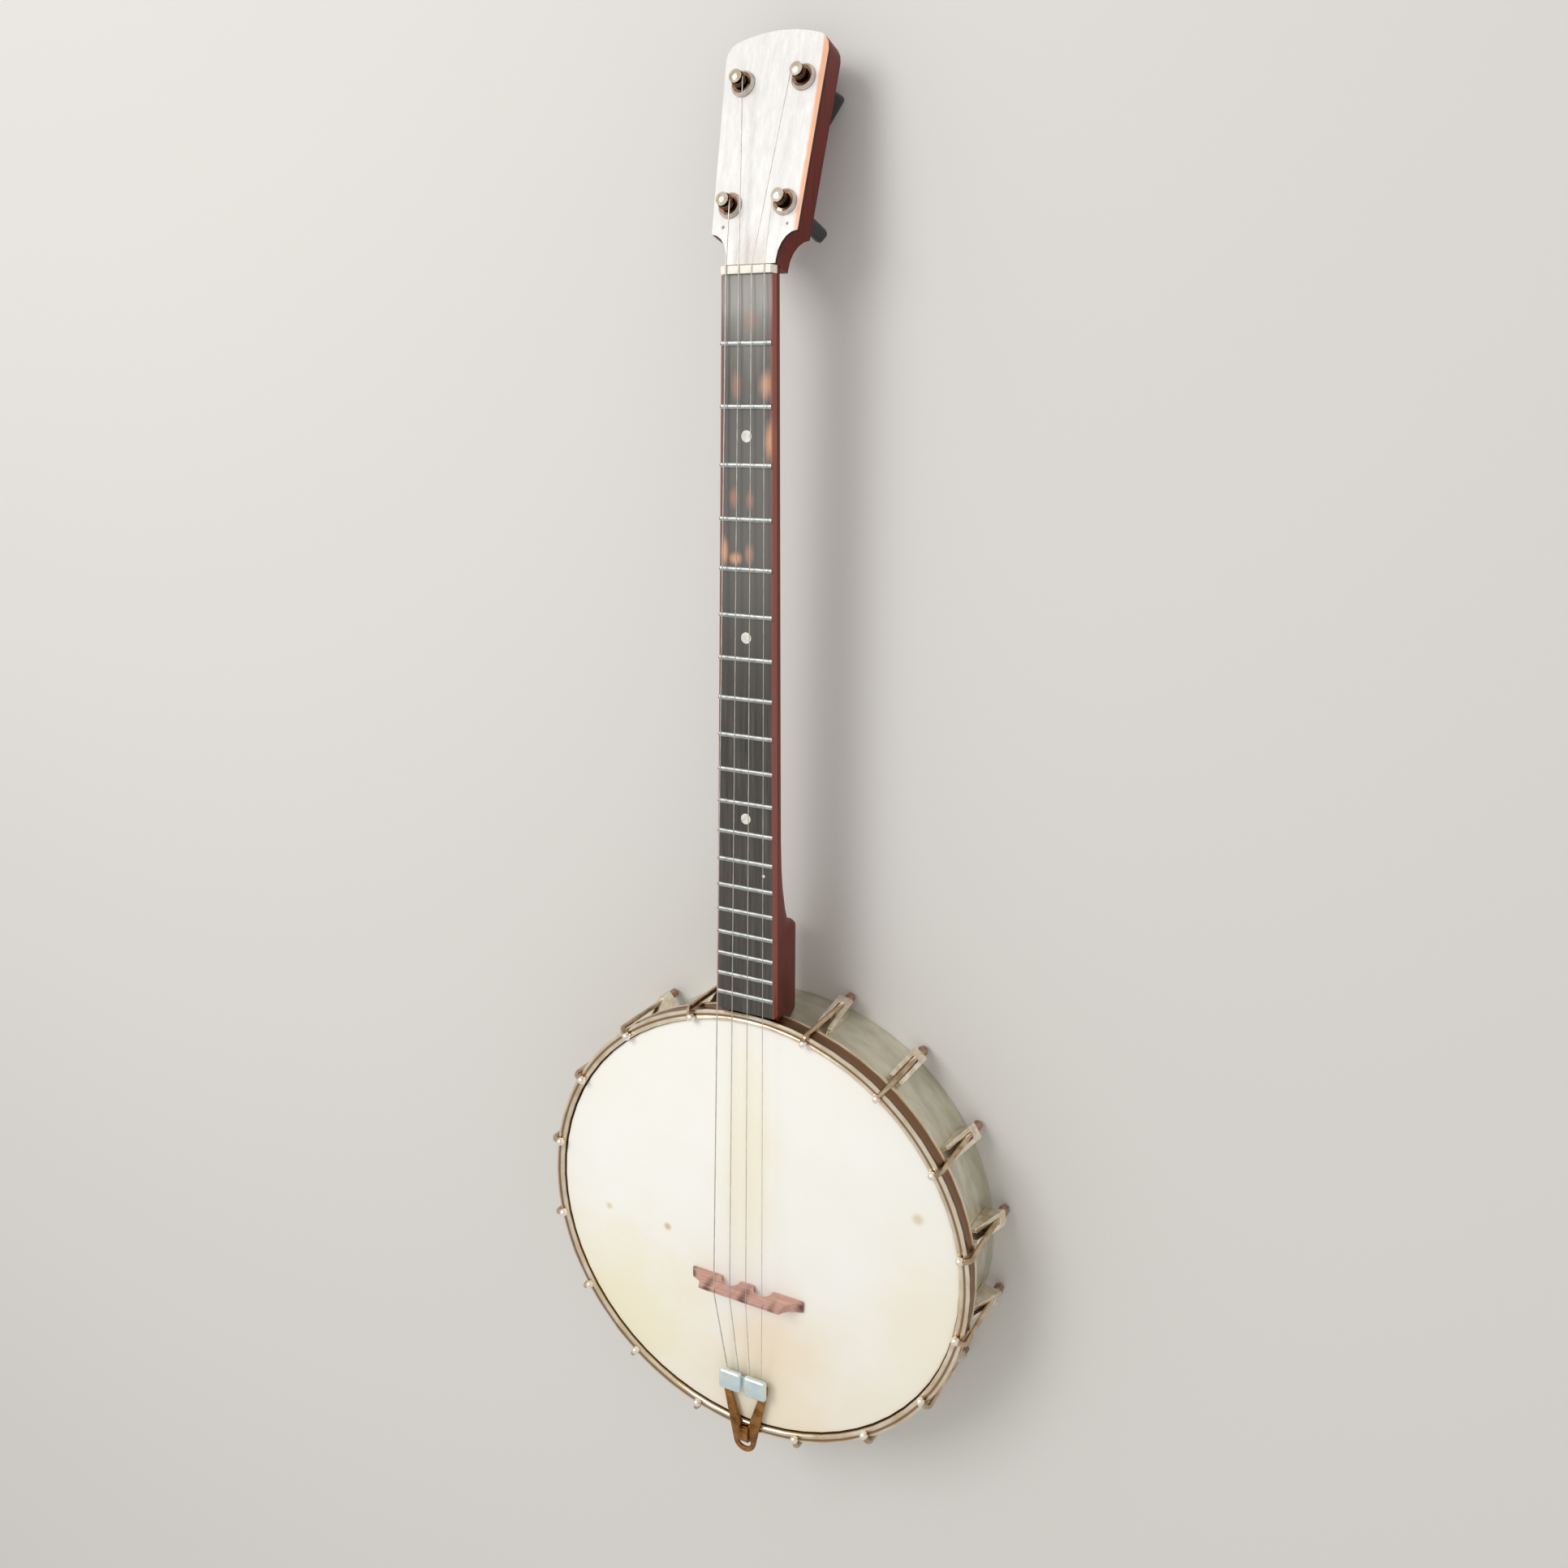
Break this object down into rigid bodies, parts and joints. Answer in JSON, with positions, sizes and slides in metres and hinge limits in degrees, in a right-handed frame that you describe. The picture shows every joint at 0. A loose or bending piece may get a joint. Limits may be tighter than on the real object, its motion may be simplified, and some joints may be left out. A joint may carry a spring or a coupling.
{
  "type": "tenor banjo",
  "caption": "Open-backed tenor banjo with a metal-clad rim, vellum head, bracket hooks, fretted neck and friction pegs.",
  "frame": {"origin": "middle of the box's base, on the plane of the rim's rear edge", "axes": "+X to the right, +Y up the neck from tailpiece to peghead, +Z out of the head; the banjo lies on its back"},
  "size_m": [0.2918, 0.8088, 0.0728],
  "materials": {
    "rim_maple": "satin varnish",
    "cladding_nickel": "worn satin nickel plate",
    "vellum": "stretched calf vellum",
    "string_steel": "drawn steel",
    "hoop_brass": "worn nickel over brass",
    "bright_nickel": "bright nickel plate",
    "mahogany": "gloss varnish",
    "face_veneer": "pale gloss varnish",
    "ebony": "oiled, with metal frets",
    "bone": "polished bone",
    "bridge_maple": "bare",
    "peg_black": "turned black celluloid"
  },
  "bodies": {
    "root": {"rim_shell": "rim_maple", "dowel_stick": "rim_maple", "rim_cladding": "cladding_nickel", "vellum_head": "vellum", "flesh_hoop": "string_steel", "tension_hoop": "hoop_brass", "neck": "mahogany", "peghead_face": "face_veneer", "fingerboard": "ebony", "nut": "bone", "bridge": "bridge_maple", "tailpiece_frame": "hoop_brass", "tailpiece_hanger": "hoop_brass", "tailpiece_plate": "bright_nickel", "tail_bolt": "bright_nickel", "hook_01": "bright_nickel", "hook_02": "bright_nickel", "hook_03": "bright_nickel", "hook_04": "bright_nickel", "hook_05": "bright_nickel", "hook_06": "bright_nickel", "hook_07": "bright_nickel", "hook_08": "bright_nickel", "hook_09": "bright_nickel", "hook_10": "bright_nickel", "hook_11": "bright_nickel", "hook_12": "bright_nickel", "hook_13": "bright_nickel", "hook_14": "bright_nickel", "hook_15": "bright_nickel", "hook_16": "bright_nickel", "shoe_01": "bright_nickel", "shoe_02": "bright_nickel", "shoe_03": "bright_nickel", "shoe_04": "bright_nickel", "shoe_05": "bright_nickel", "shoe_06": "bright_nickel", "shoe_07": "bright_nickel", "shoe_08": "bright_nickel", "shoe_09": "bright_nickel", "shoe_10": "bright_nickel", "shoe_11": "bright_nickel", "shoe_12": "bright_nickel", "shoe_13": "bright_nickel", "shoe_14": "bright_nickel", "shoe_15": "bright_nickel", "shoe_16": "bright_nickel", "peg_bush_1": "bright_nickel", "peg_bush_2": "bright_nickel", "peg_bush_3": "bright_nickel", "peg_bush_4": "bright_nickel", "string_1": "string_steel", "string_2": "string_steel", "string_3": "string_steel", "string_4": "string_steel"},
    "lower_left_peg": {"peg_1": "peg_black"},
    "upper_left_peg": {"peg_2": "peg_black"},
    "upper_right_peg": {"peg_3": "peg_black"},
    "lower_right_peg": {"peg_4": "peg_black"}
  },
  "joints": [
    {"name": "lower_left_peg_turn", "type": "hinge", "parent": "root", "child": "lower_left_peg", "pos_m": [-0.0154, 0.32181, 0.05269], "axis": [0, 0.2588, 0.9659], "continuous": true},
    {"name": "upper_left_peg_turn", "type": "hinge", "parent": "root", "child": "upper_left_peg", "pos_m": [-0.0168, 0.38035, 0.03701], "axis": [0, 0.2588, 0.9659], "continuous": true},
    {"name": "upper_right_peg_turn", "type": "hinge", "parent": "root", "child": "upper_right_peg", "pos_m": [0.0168, 0.38035, 0.03701], "axis": [0, 0.2588, 0.9659], "continuous": true},
    {"name": "lower_right_peg_turn", "type": "hinge", "parent": "root", "child": "lower_right_peg", "pos_m": [0.0154, 0.32181, 0.05269], "axis": [0, 0.2588, 0.9659], "continuous": true}
  ]
}
